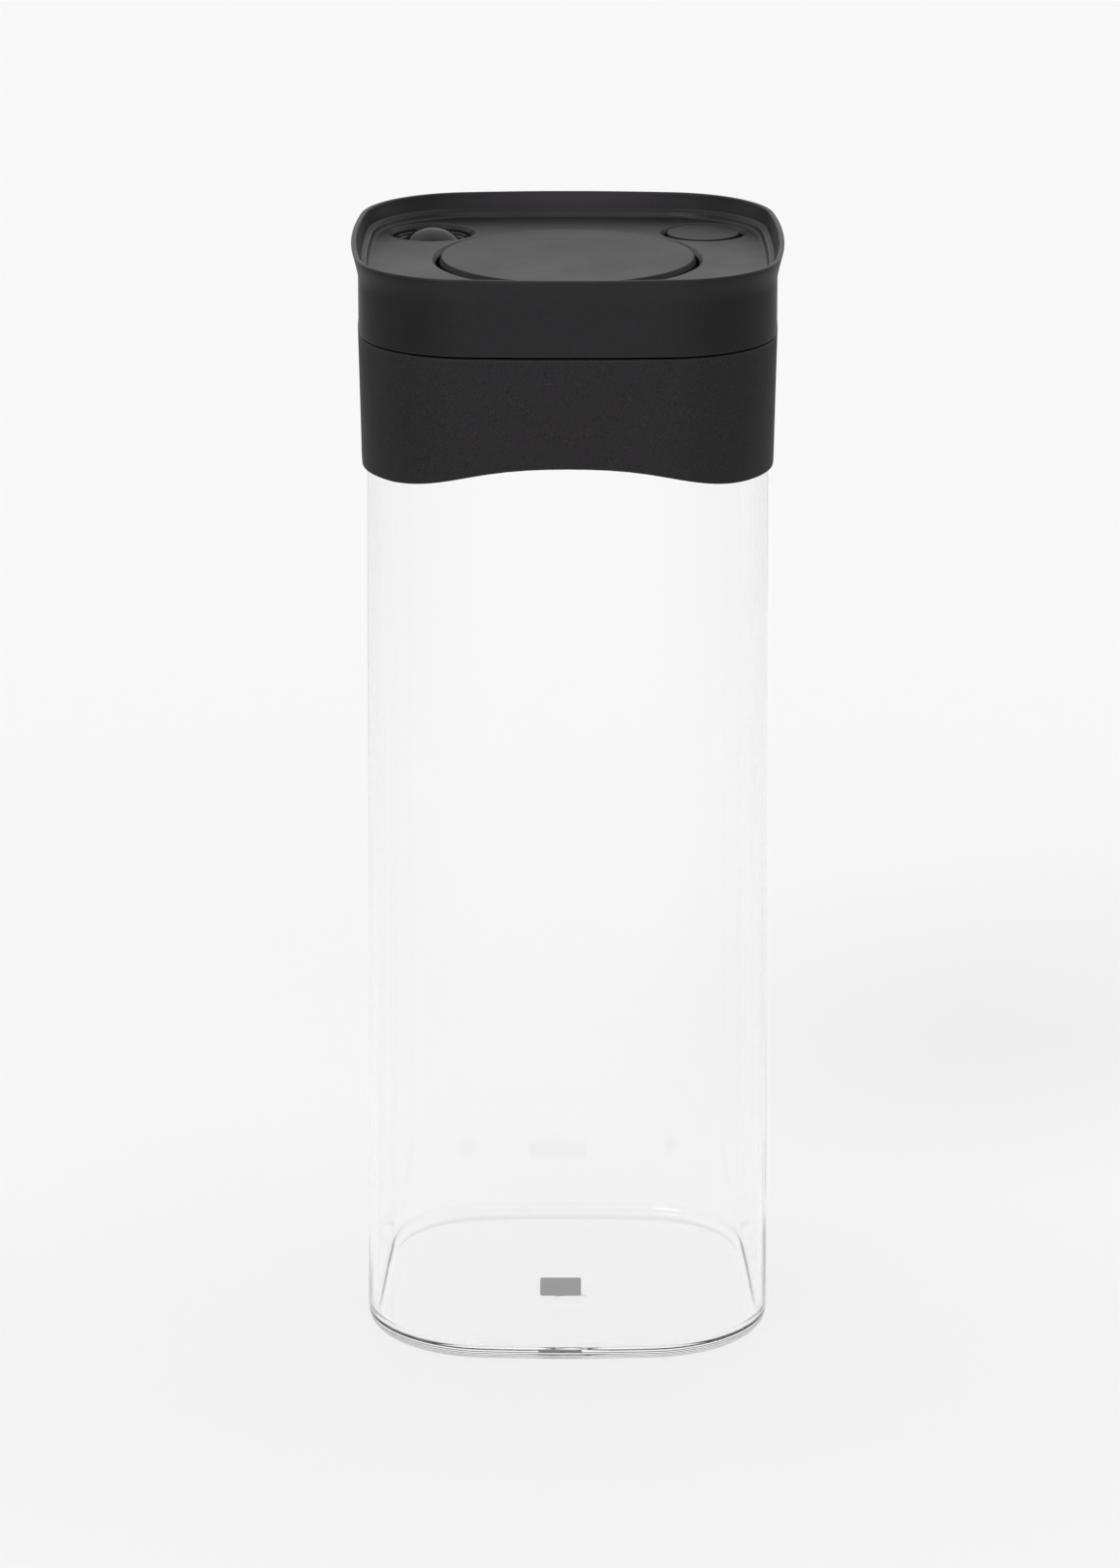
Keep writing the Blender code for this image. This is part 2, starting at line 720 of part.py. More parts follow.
def springs():
    """The three return springs."""
    coil("pump_spring", 13.0, 0.7, 4, FLOOR_TOP + GAP, PISTON_LOW - GAP, 12)
    low = GUIDE_TOP + GAP
    high = STEM_FLANGE[0] - GAP
    coil("release_spring", SPRING_R, 0.4, 5, low, high, 9, SMALL_X, SMALL_Y)
    coil("indicator_spring", SPRING_R, 0.3, 4, low, high, 9, -SMALL_X, SMALL_Y)


def main():
    for old in list(bpy.data.objects):
        bpy.data.objects.remove(old)
    glass_body()
    collar_ring()
    collar_gasket()
    lid_cover()
    lid_base()
    lid_seal()
    lid_screws()
    pump_button()
    pump_piston()
    piston_seal()
    piston_screw()
    exhaust_valve()
    inlet_valve()
    inlet_screen()
    release_button()
    release_stem()
    release_valve()
    indicator_dome()
    indicator_ring()
    indicator_stem()
    springs()


main()
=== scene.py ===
"""The looks of the lidded glass canister: finer shells, glass, moulded plastics and soft light.

Lengths in this script are millimetres until a mesh is made. An outline is a square with bowed
sides and round corners, given as half width, radius of the sides and radius of the corners.
"""

import math

import bmesh
import bpy
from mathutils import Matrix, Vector


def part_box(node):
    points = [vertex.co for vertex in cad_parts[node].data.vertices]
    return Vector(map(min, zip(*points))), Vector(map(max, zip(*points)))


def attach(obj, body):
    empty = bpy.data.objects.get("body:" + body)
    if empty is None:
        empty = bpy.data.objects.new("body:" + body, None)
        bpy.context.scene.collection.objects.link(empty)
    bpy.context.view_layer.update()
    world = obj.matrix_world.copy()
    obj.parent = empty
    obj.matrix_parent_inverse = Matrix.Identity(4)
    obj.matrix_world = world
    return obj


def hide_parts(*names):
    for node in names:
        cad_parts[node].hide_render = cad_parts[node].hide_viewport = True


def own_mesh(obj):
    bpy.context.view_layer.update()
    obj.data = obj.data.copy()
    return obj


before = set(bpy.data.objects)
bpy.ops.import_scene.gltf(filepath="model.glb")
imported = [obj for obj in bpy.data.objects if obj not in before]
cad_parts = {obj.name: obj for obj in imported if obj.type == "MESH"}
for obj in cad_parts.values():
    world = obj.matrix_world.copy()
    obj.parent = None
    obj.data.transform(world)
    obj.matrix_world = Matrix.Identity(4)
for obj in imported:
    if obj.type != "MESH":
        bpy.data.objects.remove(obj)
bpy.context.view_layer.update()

MM = 0.001


def node_top(node):
    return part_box(node)[1].z / MM


def node_foot(node):
    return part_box(node)[0].z / MM


# Outlines
JAR_FOOT = (53.1, 320.4, 31.9)
JAR_TOP = (51.4, 430.2, 30.2)
COLLAR_OUTLINE = (53.4, 433.0, 28.8)
LID_OUTLINE = (53.25, 433.0, 28.65)
RIM_OUTLINE = (55.3, 211.0, 29.3)

# Heights, from the frame
HEIGHT = node_top("lid_cover")
DECK_TOP = node_top("release_button")
LID_SEAM = node_foot("lid_base") + 22.3
COLLAR_TOP = node_top("collar_ring")
COLLAR_LOW = node_foot("collar_ring")
GLASS_TOP = node_top("glass_body")
BUTTON_TOP = node_top("pump_button")
BUTTON_LOW = node_foot("pump_button")
SHOULDER = 240.8
LEDGE_TOP = 282.8
FLARE_FOOT = 280.4

# Walls and steps
GLASS_WALL = 2.4
GLASS_FLOOR = 3.2
FOOT_ROUND = 4.0
INNER_ROUND = 2.8
NECK_STEP = 2.4
BEAD = 1.2
SKIRT = 1.8
COLLAR_ARCH = 5.4
ARCH_REACH = 45.5
DECK_THICK = 2.0
GAP = 0.3

# Round pieces
BUTTON_R = 32.65
PUMP_TUBE = (33.5, 34.9)
PUMP_TUBE_LOW = 270.8
CHAMFER = 1.1
SMALL_X = 35.2
SMALL_Y = 31.6
SMALL_TUBE = (10.2, 11.3)
SMALL_TUBE_LOW = 272.5
RELEASE_R = 9.4
SCREWS = ((31.0, -31.0), (-31.0, -31.0), (14.0, 38.2), (-14.0, 38.2))
SCREW_SEAT = 261.3

# How finely the outlines and the turned pieces are cut
SIDE_STEPS = 10
CORNER_STEPS = 18
ROUND_STEPS = 128
SMALL_ROUND_STEPS = 72


# ---------------------------------------------------------------- outlines and meshes


def outset(section, distance):
    """The section's parallel outline, moved out by distance."""
    half, side, corner = section
    return (half + distance, side + distance, corner + distance)


def between(low, high, share):
    """The section that lies this share of the way from low to high."""
    return tuple(a + (b - a) * share for a, b in zip(low, high))


def outline(section):
    """The points of a section, counter-clockwise, starting at the foot of the +X side."""
    half, side, corner = section
    side_centre = half - side
    reach = side - corner
    root = math.sqrt(4 * side_centre**2 - 8 * (side_centre**2 - reach**2))
    corner_centre = (2 * side_centre + root) / 4
    turn = math.atan2(corner_centre, corner_centre - side_centre)
    points = []
    for quarter in range(4):
        facing = quarter * math.pi / 2
        arcs = (
            (side_centre, 0.0, side, -turn, turn, SIDE_STEPS),
            (corner_centre, corner_centre, corner, turn, math.pi / 2 - turn, CORNER_STEPS),
        )
        for centre_x, centre_y, radius, start, end, steps in arcs:
            for step in range(steps):
                angle = start + (end - start) * step / steps
                x = centre_x + radius * math.cos(angle)
                y = centre_y + radius * math.sin(angle)
                turned_x = x * math.cos(facing) - y * math.sin(facing)
                turned_y = x * math.sin(facing) + y * math.cos(facing)
                points.append((turned_x, turned_y))
    return points


def level(section, z):
    return [(x, y, z) for x, y in outline(section)]


def ring(radius, z, sides, x=0.0, y=0.0):
    loop = []
    for step in range(sides):
        angle = 2 * math.pi * (step + 0.5) / sides
        loop.append((x + radius * math.cos(angle), y + radius * math.sin(angle), z))
    return loop


def rounded(corners, steps=5):
    """A profile with its corners rounded: each corner is (across, up, radius)."""
    points = []
    last = len(corners) - 1
    for index, (across, up, radius) in enumerate(corners):
        here = Vector((across, up))
        if radius == 0 or index in (0, last):
            points.append((across, up))
            continue
        back = (Vector(corners[index - 1][:2]) - here).normalized()
        ahead = (Vector(corners[index + 1][:2]) - here).normalized()
        half_angle = back.angle(ahead) / 2
        run = radius / math.tan(half_angle)
        centre = here + (back + ahead).normalized() * radius / math.sin(half_angle)
        first = here + back * run - centre
        second = here + ahead * run - centre
        sweep = math.atan2(first.x * second.y - first.y * second.x, first.dot(second))
        for step in range(steps + 1):
            angle = sweep * step / steps
            c, s = math.cos(angle), math.sin(angle)
            spoke = Vector((first.x * c - first.y * s, first.x * s + first.y * c))
            points.append(tuple(centre + spoke))
    return points


def loft(loops, closed):
    """A bmesh through loops of equal length. Closed joins the last loop to the first."""
    built = bmesh.new()
    rows = [[built.verts.new(point) for point in loop] for loop in loops]
    pairs = list(zip(rows, rows[1:]))
    if closed:
        pairs.append((rows[-1], rows[0]))
    for low, high in pairs:
        count = len(low)
        for here in range(count):
            after = (here + 1) % count
            built.faces.new((low[here], low[after], high[after], high[here]))
    if not closed:
        built.faces.new(rows[0])
        built.faces.new(rows[-1])
    return built


def turned(profile, sides, closed, x=0.0, y=0.0):
    return loft([ring(radius, z, sides, x, y) for radius, z in profile], closed)


def mesh_object(name, built, sharp_angle=32.0):
    """An object from a bmesh in millimetres, shaded smooth with its sharp edges kept."""
    bmesh.ops.recalc_face_normals(built, faces=built.faces)
    bmesh.ops.scale(built, vec=(MM, MM, MM), verts=built.verts)
    mesh = bpy.data.meshes.new(name)
    built.to_mesh(mesh)
    built.free()
    mesh.shade_smooth()
    mesh.set_sharp_from_angle(angle=math.radians(sharp_angle))
    made = bpy.data.objects.new(name, mesh)
    bpy.context.scene.collection.objects.link(made)
    return made


def combine(target, tools, operation):
    """Joins the tools to the target, or cuts them from it, and removes them."""
    for tool in tools:
        modifier = target.modifiers.new(operation.lower(), "BOOLEAN")
        modifier.operation = operation
        modifier.solver = "EXACT"
        modifier.object = tool
        evaluated = target.evaluated_get(bpy.context.evaluated_depsgraph_get())
        result = bpy.data.meshes.new_from_object(evaluated)
        target.modifiers.clear()
        target.data = result
        bpy.data.objects.remove(tool)
    target.data.shade_smooth()
    target.data.set_sharp_from_angle(angle=math.radians(32))
    return target


def as_one(tools):
    """One cutter from several that don't touch, so that a face is cut once."""
    built = bmesh.new()
    for tool in tools:
        built.from_mesh(tool.data)
        bpy.data.objects.remove(tool)
    bmesh.ops.scale(built, vec=(1 / MM, 1 / MM, 1 / MM), verts=built.verts)
    return mesh_object("cutter", built)


def weighted_normals(piece):
    """Keeps large flat faces flat where they meet small rounded edges."""
    modifier = piece.modifiers.new("weighted_normals", "WEIGHTED_NORMAL")
    modifier.keep_sharp = True
    modifier.weight = 80
    return piece


def finish_piece(piece, body, nodes, material):
    piece.data.materials.clear()
    piece.data.materials.append(material)
    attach(piece, body)
    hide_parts(*nodes)
    return piece


# ---------------------------------------------------------------- materials


class Nodes:
    """A short hand for building one material's node tree."""

    def __init__(self, name):
        self.material = bpy.data.materials.new(name)
        self.material.use_nodes = True
        self.tree = self.material.node_tree
        self.shader = self.tree.nodes["Principled BSDF"]
        self.coordinates = self.tree.nodes.new("ShaderNodeTexCoord").outputs["Object"]

    def add(self, kind, **values):
        node = self.tree.nodes.new(kind)
        for key, value in values.items():
            setattr(node, key, value)
        return node

    def link(self, output, target):
        self.tree.links.new(output, target)

    def noise(self, scale, detail=2.0, stretch=(1.0, 1.0, 1.0)):
        mapping = self.add("ShaderNodeMapping")
        mapping.inputs["Scale"].default_value = stretch
        self.link(self.coordinates, mapping.inputs["Vector"])
        texture = self.add("ShaderNodeTexNoise")
        texture.inputs["Scale"].default_value = scale
        texture.inputs["Detail"].default_value = detail
        self.link(mapping.outputs["Vector"], texture.inputs["Vector"])
        return texture.outputs["Fac"]

    def spread(self, value, low, high, from_low=0.3, from_high=0.7):
        node = self.add("ShaderNodeMapRange")
        node.inputs["From Min"].default_value = from_low
        node.inputs["From Max"].default_value = from_high
        node.inputs["To Min"].default_value = low
        node.inputs["To Max"].default_value = high
        self.link(value, node.inputs["Value"])
        return node.outputs["Result"]

    def colours(self, value, stops):
        node = self.add("ShaderNodeValToRGB")
        ramp = node.color_ramp
        while len(ramp.elements) < len(stops):
            ramp.elements.new(0.5)
        for element, (place, colour) in zip(ramp.elements, stops):
            element.position = place
            element.color = (*colour, 1.0)
        self.link(value, node.inputs["Fac"])
        return node.outputs["Color"]

    def bump(self, height, distance, strength=1.0, below=None):
        node = self.add("ShaderNodeBump")
        node.inputs["Strength"].default_value = strength
        node.inputs["Distance"].default_value = distance
        self.link(height, node.inputs["Height"])
        if below is not None:
            self.link(below, node.inputs["Normal"])
        return node.outputs["Normal"]

    def set(self, socket, value):
        self.shader.inputs[socket].default_value = value

    def feed(self, socket, output):
        self.link(output, self.shader.inputs[socket])


def moulded_plastic(name, dark, light, rough, grain_size, grain_depth, specular=0.3):
    """Black moulded plastic: a fine grain, faint mottling and a little dust in the roughness."""
    made = Nodes(name)
    grain = made.noise(1.0 / (grain_size * MM), 3.0)
    cloud = made.noise(60.0, 4.0)
    made.feed("Base Color", made.colours(grain, [(0.38, dark), (0.66, light)]))
    fine = made.spread(grain, rough[0], rough[1])
    slow = made.spread(cloud, -0.03, 0.03)
    total = made.add("ShaderNodeMath", operation="ADD")
    made.link(fine, total.inputs[0])
    made.link(slow, total.inputs[1])
    made.feed("Roughness", total.outputs[0])
    made.feed("Normal", made.bump(grain, grain_depth * MM))
    made.set("Specular IOR Level", specular)
    made.set("Specular Tint", (1.0, 0.92, 0.99, 1.0))
    return made.material


def gloss_rubber(name, colour, rough):
    """Polished black silicone, with the faint specks of dust that it holds."""
    made = Nodes(name)
    specks = made.noise(2600.0, 2.0)
    slow = made.noise(160.0, 2.0)
    dust = tuple(min(1.0, c + 0.05) for c in colour)
    made.feed("Base Color", made.colours(specks, [(0.7, colour), (0.78, dust)]))
    made.feed("Roughness", made.spread(slow, rough[0], rough[1]))
    made.feed("Normal", made.bump(slow, 0.02 * MM))
    made.set("Specular IOR Level", 0.25)
    return made.material


def matte_rubber(name, colour):
    made = Nodes(name)
    grain = made.noise(1500.0, 3.0)
    darker = tuple(c * 0.85 for c in colour)
    made.feed("Base Color", made.colours(grain, [(0.35, darker), (0.65, colour)]))
    made.feed("Roughness", made.spread(grain, 0.55, 0.7))
    made.feed("Normal", made.bump(grain, 0.01 * MM))
    return made.material


def acetal(name):
    """White engineering plastic, slightly cloudy."""
    made = Nodes(name)
    cloud = made.noise(300.0, 3.0)
    made.feed("Base Color", made.colours(cloud, [(0.3, (0.6, 0.6, 0.57)), (0.7, (0.68, 0.68, 0.66))]))
    made.feed("Roughness", made.spread(cloud, 0.34, 0.46))
    made.feed("Normal", made.bump(cloud, 0.01 * MM))
    made.set("Subsurface Weight", 0.1)
    made.set("Subsurface Scale", 0.001)
    return made.material


def drawn_steel(name, stretch=(1.0, 1.0, 12.0)):
    """Plated or drawn steel, with fine lines along it."""
    made = Nodes(name)
    lines = made.noise(900.0, 3.0, stretch)
    made.feed("Base Color", made.colours(lines, [(0.3, (0.5, 0.5, 0.5)), (0.7, (0.62, 0.62, 0.63))]))
    made.feed("Roughness", made.spread(lines, 0.2, 0.36))
    made.feed("Normal", made.bump(lines, 0.01 * MM))
    made.set("Metallic", 1.0)
    return made.material


def clear_glass(name):
    """Clear pressed glass: a slow waviness and a faint film. It lets the lamps' light through."""
    made = Nodes(name)
    wave = made.noise(22.0, 1.0, (1.0, 1.0, 0.35))
    film = made.noise(140.0, 4.0)
    made.set("Base Color", (1.0, 1.0, 1.0, 1.0))
    made.set("Transmission Weight", 1.0)
    made.set("IOR", 1.5)
    made.feed("Roughness", made.spread(film, 0.0, 0.012, 0.45, 0.8))
    made.feed("Normal", made.bump(wave, 0.12 * MM))
    clear = made.add("ShaderNodeBsdfTransparent")
    clear.inputs["Color"].default_value = (0.985, 0.985, 0.985, 1.0)
    path = made.add("ShaderNodeLightPath")
    surface = made.shader.outputs["BSDF"]
    for kind in ("Is Shadow Ray", "Is Diffuse Ray"):
        mix = made.add("ShaderNodeMixShader")
        made.link(path.outputs[kind], mix.inputs["Fac"])
        made.link(surface, mix.inputs[1])
        made.link(clear.outputs["BSDF"], mix.inputs[2])
        surface = mix.outputs["Shader"]
    output = made.tree.nodes["Material Output"]
    made.link(surface, output.inputs["Surface"])
    return made.material


def printed_ink(name):
    """Grey screen-printed ink with a slightly uneven cover."""
    made = Nodes(name)
    cover = made.noise(1400.0, 3.0)
    made.feed("Base Color", made.colours(cover, [(0.3, (0.13, 0.13, 0.13)), (0.7, (0.17, 0.17, 0.17))]))
    made.feed("Roughness", made.spread(cover, 0.5, 0.65))
    made.feed("Normal", made.bump(cover, 0.005 * MM))
    return made.material


# ---------------------------------------------------------------- the jar


def floor_loops(section, z, round_radius, x, y, lift, steps):
    """Loops that fill a flat floor, from the outline in to a round mark that is lifted."""
    edge = outline(section)
    loops = []
    for step in range(1, steps + 1):
        share = step / steps
        loop = []
        for edge_x, edge_y in edge:
            angle = math.atan2(edge_y, edge_x)
            round_x = x + round_radius * math.cos(angle)
            round_y = y + round_radius * math.sin(angle)
            loop.append((edge_x + (round_x - edge_x) * share, edge_y + (round_y - edge_y) * share, z))
        loops.append(loop)
    for share, rise in ((0.93, 0.25), (0.85, 0.7), (0.72, 1.0), (0.4, 1.0), (0.06, 1.0)):
        loop = []
        for edge_x, edge_y in edge:
            angle = math.atan2(edge_y, edge_x)
            radius = round_radius * share
            loop.append((x + radius * math.cos(angle), y + radius * math.sin(angle), z + lift * rise))
        loops.append(loop)
    return loops


def jar_glass():
    """The square jar: thick floor, drawn walls, stepped neck with its bead, and the mouth."""
    edge = FOOT_ROUND
    steps = 14
    outer = []
    for step in range(steps + 1):
        angle = math.pi / 2 * step / steps
        inward = edge * (1 - math.sin(angle))
        outer.append(level(outset(JAR_FOOT, -inward), edge * (1 - math.cos(angle))))
    under = floor_loops(outset(JAR_FOOT, -edge), 0.0, 5.0, 1.0, -13.0, 0.07, 6)
    loops = [*reversed(under), *outer]
    for share in (0.2, 0.4, 0.6, 0.8):
        loops.append(level(between(JAR_FOOT, JAR_TOP, share), edge + (SHOULDER - edge) * share))
    neck = -NECK_STEP
    bead = neck + BEAD
    upper = rounded(
        [
            (0.0, SHOULDER - 4.0, 0.0),
            (0.0, SHOULDER + 0.5, 1.4),
            (neck, SHOULDER + 2.4, 1.0),
            (neck, 249.6, 0.6),
            (bead, 250.9, 0.6),
            (bead, 252.6, 0.6),
            (neck, 253.9, 0.6),
            (neck, GLASS_TOP, 1.0),
            (neck - GLASS_WALL, GLASS_TOP, 1.0),
            (neck - GLASS_WALL, SHOULDER + 1.4, 2.0),
            (-GLASS_WALL, SHOULDER - 2.6, 2.0),
            (-GLASS_WALL, SHOULDER - 8.0, 0.0),
        ]
    )
    loops += [level(outset(JAR_TOP, across), up) for across, up in upper]
    fillet = INNER_ROUND
    top_inside = outset(JAR_TOP, -GLASS_WALL)
    foot_inside = outset(JAR_FOOT, -GLASS_WALL)
    start = SHOULDER - 8.0
    end = GLASS_FLOOR + fillet
    for share in (0.2, 0.4, 0.6, 0.8):
        loops.append(level(between(top_inside, foot_inside, share), start + (end - start) * share))
    for step in range(steps + 1):
        angle = math.pi / 2 * step / steps
        inward = fillet * (1 - math.cos(angle))
        height = GLASS_FLOOR + fillet * (1 - math.sin(angle))
        loops.append(level(outset(foot_inside, -inward), height))
    loops += floor_loops(outset(foot_inside, -fillet), GLASS_FLOOR, 8.0, 0.0, 0.0, 0.0, 6)
    piece = mesh_object("jar_glass", loft(loops, False), 60.0)
    return finish_piece(piece, "jar", ["glass_body"], clear_glass("jar_clear_glass"))


def base_mark():
    """A plain grey patch printed under the floor, with no lettering."""
    half_x, half_y, corner = 5.4, 6.4, 0.7
    centre_x, centre_y = -1.8, -3.4
    points = []
    for quarter, (sign_x, sign_y) in enumerate(((1, 1), (-1, 1), (-1, -1), (1, -1))):
        for step in range(5):
            angle = math.pi / 2 * (quarter + step / 4)
            x = centre_x + sign_x * (half_x - corner) + corner * math.cos(angle)
            y = centre_y + sign_y * (half_y - corner) + corner * math.sin(angle)
            points.append((x, y))
    loops = [[(x, y, z) for x, y in points] for z in (-0.05, 0.06)]
    piece = mesh_object("base_mark", loft(loops, False))
    piece.data.materials.append(printed_ink("base_mark_ink"))
    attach(piece, "jar")
    return piece


def collar_edge(x, y):
    """How far the collar's lower edge is above its lowest point: an arch on front and back."""
    if abs(y) <= abs(x) or abs(x) > ARCH_REACH:
        return 0.0
    across = math.cos(math.pi * x / (2 * ARCH_REACH)) ** 2
    return COLLAR_ARCH * across * (1.6 - 0.6 * across)


def collar():
    """The textured ring on the glass neck. Its lower edge follows the arch, its top is level."""
    snug = COLLAR_OUTLINE[0] - JAR_TOP[0] - GAP
    neck = -snug - NECK_STEP
    lip = neck - GLASS_WALL - GAP
    outer = rounded(
        [
            (-1.4, COLLAR_LOW, 0.0),
            (-0.7, COLLAR_LOW, 0.45),
            (-0.45, 246.0, 40.0),
            (0.0, COLLAR_TOP, 0.7),
            (lip, COLLAR_TOP, 0.5),
            (lip, GLASS_TOP + 2.4, 0.3),
            (neck, GLASS_TOP + 2.4, 0.0),
        ]
    )
    inner = [(neck, 255.4), (neck + 1.5, 254.2), (neck + 1.5, 248.6), (neck, 247.4), (neck, SHOULDER + 2.9)]
    loops = []
    fade = 12.0
    for across, up in [*outer, *inner, (-snug, SHOULDER + 0.9), (-snug, COLLAR_LOW)]:
        share = max(0.0, 1.0 - (up - COLLAR_LOW) / fade)
        section = outset(COLLAR_OUTLINE, across)
        loops.append([(x, y, up + collar_edge(x, y) * share) for x, y in outline(section)])
    piece = mesh_object("collar_shell", loft(loops, True))
    material = moulded_plastic(
        "collar_speckle", (0.004, 0.004, 0.0042), (0.019, 0.0185, 0.0195), (0.5, 0.66), 0.3, 0.05, 0.3
    )
    return finish_piece(piece, "jar", ["collar_ring"], material)


# ---------------------------------------------------------------- the lid


def flare_section(z, inward):
    """The outline of the lid's flared rim at one height, moved in by inward."""
    share = max(0.0, (z - FLARE_FOOT) / (HEIGHT - FLARE_FOOT)) ** 1.7
    return outset(between(LID_OUTLINE, RIM_OUTLINE, share), -inward)


def hole_tool(radius, low, chamfer, sides, x=0.0, y=0.0):
    """A cutter for a round hole in the deck with a softened 45 degree chamfer."""
    over = 0.3
    soft = 0.22
    profile = [
        (radius, low - over),
        (radius, DECK_TOP - chamfer - soft),
        (radius + soft * 0.3, DECK_TOP - chamfer - soft * 0.3),
        (radius + soft, DECK_TOP - chamfer + soft * 0.7),
        (radius + chamfer - soft, DECK_TOP - soft),
        (radius + chamfer, DECK_TOP - soft * 0.25),
        (radius + chamfer + soft, DECK_TOP + 0.005),
        (radius + chamfer + soft + over, DECK_TOP + over),
    ]
    return mesh_object("cutter", turned(profile, sides, False, x, y))


def tube_tool(radii, low, high, sides, x=0.0, y=0.0):
    inner, outer = radii
    profile = [(outer, low), (outer, high), (inner, high), (inner, low)]
    return mesh_object("cutter", turned(profile, sides, True, x, y))


def rod_tool(radius, low, high, sides, x=0.0, y=0.0):
    return mesh_object("cutter", turned([(radius, low), (radius, high)], sides, False, x, y))


def lid():
    """The upper shell: skirt, flared rim, tray and deck, with its tubes, bosses and holes."""
    loops = []
    for inward, up in ((0.55, 0.0), (0.22, 0.07), (0.06, 0.25), (0.0, 0.55)):
        loops.append(level(outset(LID_OUTLINE, -inward), LID_SEAM + up))
    loops.append(level(LID_OUTLINE, FLARE_FOOT - 0.6))
    steps = 12
    rim_round = 0.55
    for step in range(steps + 1):
        z = FLARE_FOOT + (HEIGHT - rim_round - FLARE_FOOT) * step / steps
        loops.append(level(flare_section(z, 0.0), z))
    wall = 1.35
    for step in range(1, 6):
        angle = math.pi / 2 * step / 6
        inward = rim_round * (1 - math.cos(angle))
        z = HEIGHT - rim_round * (1 - math.sin(angle))
        loops.append(level(flare_section(HEIGHT - rim_round, inward), z))
    for step in range(6):
        angle = math.pi / 2 * (1 - step / 6)
        inward = wall - rim_round * (1 - math.cos(angle))
        z = HEIGHT - rim_round * (1 - math.sin(angle))
        loops.append(level(flare_section(HEIGHT - rim_round, inward), z))
    for step in range(1, 7):
        z = HEIGHT - rim_round + (LEDGE_TOP + 0.5 - HEIGHT + rim_round) * step / 6
        loops.append(level(flare_section(z, wall), z))
    ledge = 1.15
    for across, up in rounded(
        [
            (-ledge - 0.15, LEDGE_TOP + 0.5, 0.0),
            (-ledge - 0.3, LEDGE_TOP - 0.05, 0.25),
            (-ledge - 1.0, LEDGE_TOP - 0.35, 0.5),
            (-ledge - 1.5, DECK_TOP, 1.1),
            (-ledge - 4.0, DECK_TOP, 0.0),
        ],
        6,
    )[1:]:
        loops.append(level(outset(LID_OUTLINE, across), up))
    cover = mesh_object("lid_shell", loft(loops, False))
    inside = outset(LID_OUTLINE, -SKIRT)
    under = DECK_TOP - DECK_THICK
    hollow = [
        level(outset(inside, -1.6), under),
        level(outset(inside, -0.5), under - 0.3),
        level(inside, under - 1.4),
        level(inside, LID_SEAM - 1.0),
    ]
    combine(cover, [mesh_object("cutter", loft(hollow, False))], "DIFFERENCE")
    in_deck = DECK_TOP - DECK_THICK / 2
    joined = [tube_tool((PUMP_TUBE[0] - 0.5, PUMP_TUBE[1]), PUMP_TUBE_LOW, in_deck, ROUND_STEPS)]
    for x in (SMALL_X, -SMALL_X):
        radii = (SMALL_TUBE[0] - 0.5, SMALL_TUBE[1])
        joined.append(tube_tool(radii, SMALL_TUBE_LOW, in_deck, SMALL_ROUND_STEPS, x, SMALL_Y))
    for x, y in SCREWS:
        joined.append(rod_tool(3.2, SCREW_SEAT, in_deck, 24, x, y))
    combine(cover, joined, "UNION")
    cut = [hole_tool(PUMP_TUBE[0], PUMP_TUBE_LOW, CHAMFER, ROUND_STEPS)]
    for x in (SMALL_X, -SMALL_X):
        cut.append(hole_tool(SMALL_TUBE[0], SMALL_TUBE_LOW, CHAMFER, SMALL_ROUND_STEPS, x, SMALL_Y))
    for x, y in SCREWS:
        cut.append(rod_tool(1.7, SCREW_SEAT - 1.0, 271.0, 24, x, y))
    combine(cover, [as_one(cut)], "DIFFERENCE")
    weighted_normals(cover)
    material = moulded_plastic(
        "lid_satin", (0.006, 0.006, 0.0063), (0.011, 0.011, 0.0115), (0.36, 0.46), 0.3, 0.012, 0.3
    )
    return finish_piece(cover, "lid", ["lid_cover"], material)


def indicator_ring():
    """The stepped ring that keeps the dome in its hole."""
    profile = rounded(
        [
            (8.6, 277.6, 0.0),
            (8.6, 278.6, 0.2),
            (9.2, 278.9, 0.15),
            (9.2, 279.3, 0.15),
            (9.55, 279.55, 0.12),
            (9.9, 279.3, 0.15),
            (9.9, 274.0, 0.2),
            (9.0, 274.0, 0.2),
            (9.0, 277.6, 0.0),
        ],
        3,
    )
    piece = mesh_object("indicator_bezel", turned(profile, SMALL_ROUND_STEPS, True, -SMALL_X, SMALL_Y))
    material = gloss_rubber("bezel_gloss", (0.012, 0.012, 0.0125), (0.1, 0.2))
    return finish_piece(piece, "lid", ["indicator_ring"], material)


# ---------------------------------------------------------------- buttons and dome


def button_plastic(name):
    return moulded_plastic(name, (0.009, 0.0088, 0.0093), (0.015, 0.0147, 0.0155), (0.42, 0.52), 0.3, 0.01, 0.35)


